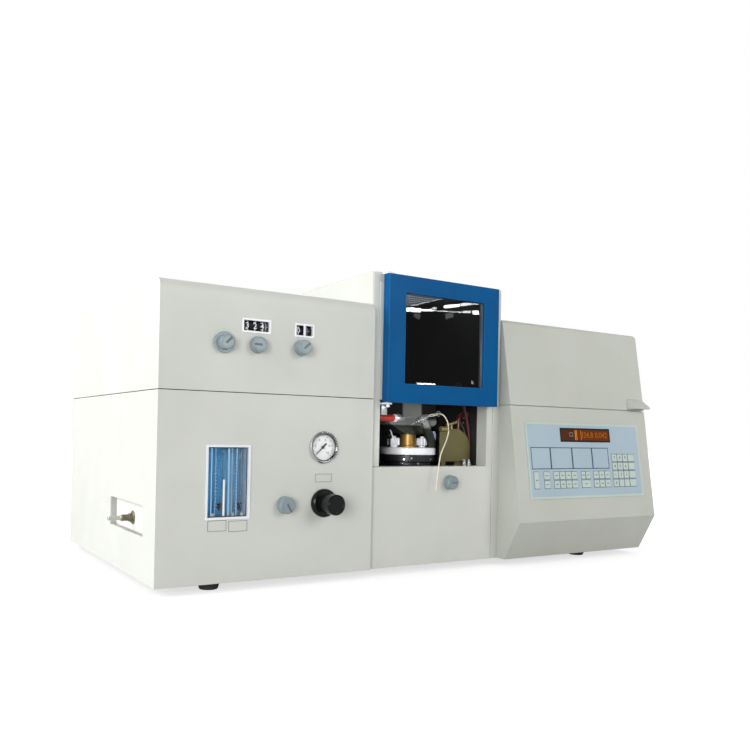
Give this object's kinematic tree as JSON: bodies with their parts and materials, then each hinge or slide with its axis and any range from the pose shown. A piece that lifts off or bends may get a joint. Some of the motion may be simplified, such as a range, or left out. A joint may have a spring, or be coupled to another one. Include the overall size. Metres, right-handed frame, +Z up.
{
  "type": "atomic absorption spectrophotometer",
  "caption": "Bench atomic absorption spectrophotometer with burner bay, shield door, gas controls, wavelength counter and keypad console.",
  "frame": {"origin": "centre of the bounding box on the bench, under the feet", "axes": "+X to the right and +Y to the rear as seen by the operator in front, +Z up"},
  "size_m": [1.039, 0.6072, 0.514],
  "materials": {
    "cabinet_paint": "satin",
    "console_paint": "satin",
    "dark_enamel": "satin",
    "black_rubber": "matte",
    "steel": "satin",
    "chrome": "polished",
    "aluminium": "satin",
    "brass": "satin",
    "gold_plate": "satin",
    "black_plastic": "gloss",
    "black_matte": "matte",
    "grey_knob": "satin",
    "white_plastic": "gloss",
    "blue_plastic": "satin",
    "overlay": "satin",
    "key_plastic": "matte",
    "amber_window": "gloss",
    "clear_glass": "clear",
    "smoked_glass": "clear",
    "blue_acrylic": "clear",
    "red_rubber": "satin",
    "red_hose": "satin",
    "dial_white": "matte",
    "white_ceramic": "satin",
    "tube_plastic": "satin"
  },
  "bodies": {
    "instrument": {"base_plates": "dark_enamel", "feet": "black_rubber", "left_housing": "cabinet_paint", "left_cover": "cabinet_paint", "gas_recess": "cabinet_paint", "gas_inlet": "brass", "rear_panel": "cabinet_paint", "mains_inlet": "black_plastic", "bay_housing": "cabinet_paint", "bay_liner": "dark_enamel", "front_panel": "cabinet_paint", "right_housing": "console_paint", "lamp_bench": "aluminium", "lamp": "clear_glass", "lens_barrel": "black_matte", "keypad": "overlay", "keys": "key_plastic", "display": "amber_window", "counter_frame": "white_plastic", "slit_frame": "white_plastic", "shaft_bushes": "brass", "gauge_case": "chrome", "gauge_dial": "dial_white", "gauge_glass": "clear_glass", "flow_frame": "white_plastic", "flow_blocks": "blue_acrylic", "flow_screws": "steel", "regulator_body": "black_plastic", "door_brackets": "white_plastic", "igniter": "red_rubber", "gas_bracket": "gold_plate", "gas_fittings": "brass", "gas_hose": "red_hose", "carriage_rails": "steel", "lid_hinge": "steel"},
    "gain_knob": {"gain_knob": "grey_knob"},
    "wavelength_knob": {"wavelength_knob": "grey_knob"},
    "units_drum": {"units_drum": "black_matte"},
    "tens_drum": {"tens_drum": "black_matte"},
    "hundreds_drum": {"hundreds_drum": "black_matte"},
    "slit_knob": {"slit_knob": "grey_knob"},
    "slit_drum": {"slit_drum": "black_matte"},
    "fuel_knob": {"fuel_knob": "grey_knob"},
    "regulator_knob": {"regulator_knob": "black_plastic"},
    "burner_knob": {"burner_knob": "grey_knob"},
    "burner_carriage": {"carriage": "aluminium", "spray_chamber": "black_plastic", "burner_flange": "white_ceramic", "burner_stem": "brass", "thumb_nuts": "white_plastic", "nebulizer": "steel", "capillary": "tube_plastic"},
    "burner_head": {"burner_head": "steel"},
    "door": {"door_frame": "blue_plastic", "door_glass": "smoked_glass"},
    "lid": {"lid": "console_paint", "finger_lip": "console_paint"},
    "gauge_needle": {"gauge_needle": "black_matte"},
    "fuel_float": {"fuel_float": "red_rubber"},
    "air_float": {"air_float": "black_matte"}
  },
  "joints": [
    {"name": "gain_turn", "type": "hinge", "parent": "instrument", "child": "gain_knob", "pos_m": [-0.3945, -0.25065, 0.366], "axis": [0, 1, 0], "range_deg": [-195, 105]},
    {"name": "wavelength_turn", "type": "hinge", "parent": "instrument", "child": "wavelength_knob", "pos_m": [-0.3415, -0.25065, 0.366], "axis": [0, 1, 0], "continuous": true},
    {"name": "units_spin", "type": "hinge", "parent": "instrument", "child": "units_drum", "pos_m": [-0.3297, -0.23365, 0.3945], "axis": [1, 0, 0], "continuous": true},
    {"name": "tens_spin", "type": "hinge", "parent": "instrument", "child": "tens_drum", "pos_m": [-0.3437, -0.23365, 0.3945], "axis": [1, 0, 0], "continuous": true},
    {"name": "hundreds_spin", "type": "hinge", "parent": "instrument", "child": "hundreds_drum", "pos_m": [-0.3565, -0.23365, 0.3945], "axis": [1, 0, 0], "continuous": true},
    {"name": "slit_turn", "type": "hinge", "parent": "instrument", "child": "slit_knob", "pos_m": [-0.2675, -0.25065, 0.367], "axis": [0, 1, 0], "range_deg": [-120, 120]},
    {"name": "slit_spin", "type": "hinge", "parent": "instrument", "child": "slit_drum", "pos_m": [-0.2615, -0.23565, 0.3945], "axis": [1, 0, 0], "range_deg": [-120, 120]},
    {"name": "fuel_turn", "type": "hinge", "parent": "instrument", "child": "fuel_knob", "pos_m": [-0.2905, -0.25065, 0.124], "axis": [0, -1, 0], "range_deg": [0, 720]},
    {"name": "regulator_turn", "type": "hinge", "parent": "instrument", "child": "regulator_knob", "pos_m": [-0.2215, -0.25065, 0.125], "axis": [0, 1, 0], "range_deg": [-720, 720]},
    {"name": "carriage_slide", "type": "slide", "parent": "instrument", "child": "burner_carriage", "axis": [0, 1, 0], "range_m": [-0.006, 0.006]},
    {"name": "burner_knob_turn", "type": "hinge", "parent": "instrument", "child": "burner_knob", "pos_m": [0.0345, -0.24365, 0.153], "axis": [0, 1, 0], "range_deg": [-362, 362]},
    {"name": "head_turn", "type": "hinge", "parent": "burner_carriage", "child": "burner_head", "pos_m": [0.0095, -0.15265, 0.236], "axis": [0, 0, 1], "range_deg": [-10, 10]},
    {"name": "door_swing", "type": "hinge", "parent": "instrument", "child": "door", "pos_m": [-0.1055, -0.2549, 0.289], "axis": [0, 0, -1], "range_deg": [0, 110]},
    {"name": "lid_open", "type": "hinge", "parent": "instrument", "child": "lid", "pos_m": [0.335, 0.29915, 0.295], "axis": [-1, 0, 0], "range_deg": [0, 65]},
    {"name": "needle_turn", "type": "hinge", "parent": "instrument", "child": "gauge_needle", "pos_m": [-0.2235, -0.25065, 0.213], "axis": [0, 1, 0], "range_deg": [0, 270], "stiffness_Nm_per_rad": 0.001},
    {"name": "fuel_float_rise", "type": "slide", "parent": "instrument", "child": "fuel_float", "axis": [0, 0, 1], "range_m": [0, 0.076]},
    {"name": "air_float_rise", "type": "slide", "parent": "instrument", "child": "air_float", "axis": [0, 0, 1], "range_m": [0, 0.076]}
  ],
  "couplings": [
    {"joint": "units_spin", "follows": "wavelength_turn", "ratio": 1},
    {"joint": "tens_spin", "follows": "wavelength_turn", "ratio": 0.1},
    {"joint": "hundreds_spin", "follows": "wavelength_turn", "ratio": 0.01},
    {"joint": "slit_spin", "follows": "slit_turn", "ratio": 1},
    {"joint": "burner_knob_turn", "follows": "carriage_slide", "rad_per_m": 1047.2}
  ]
}
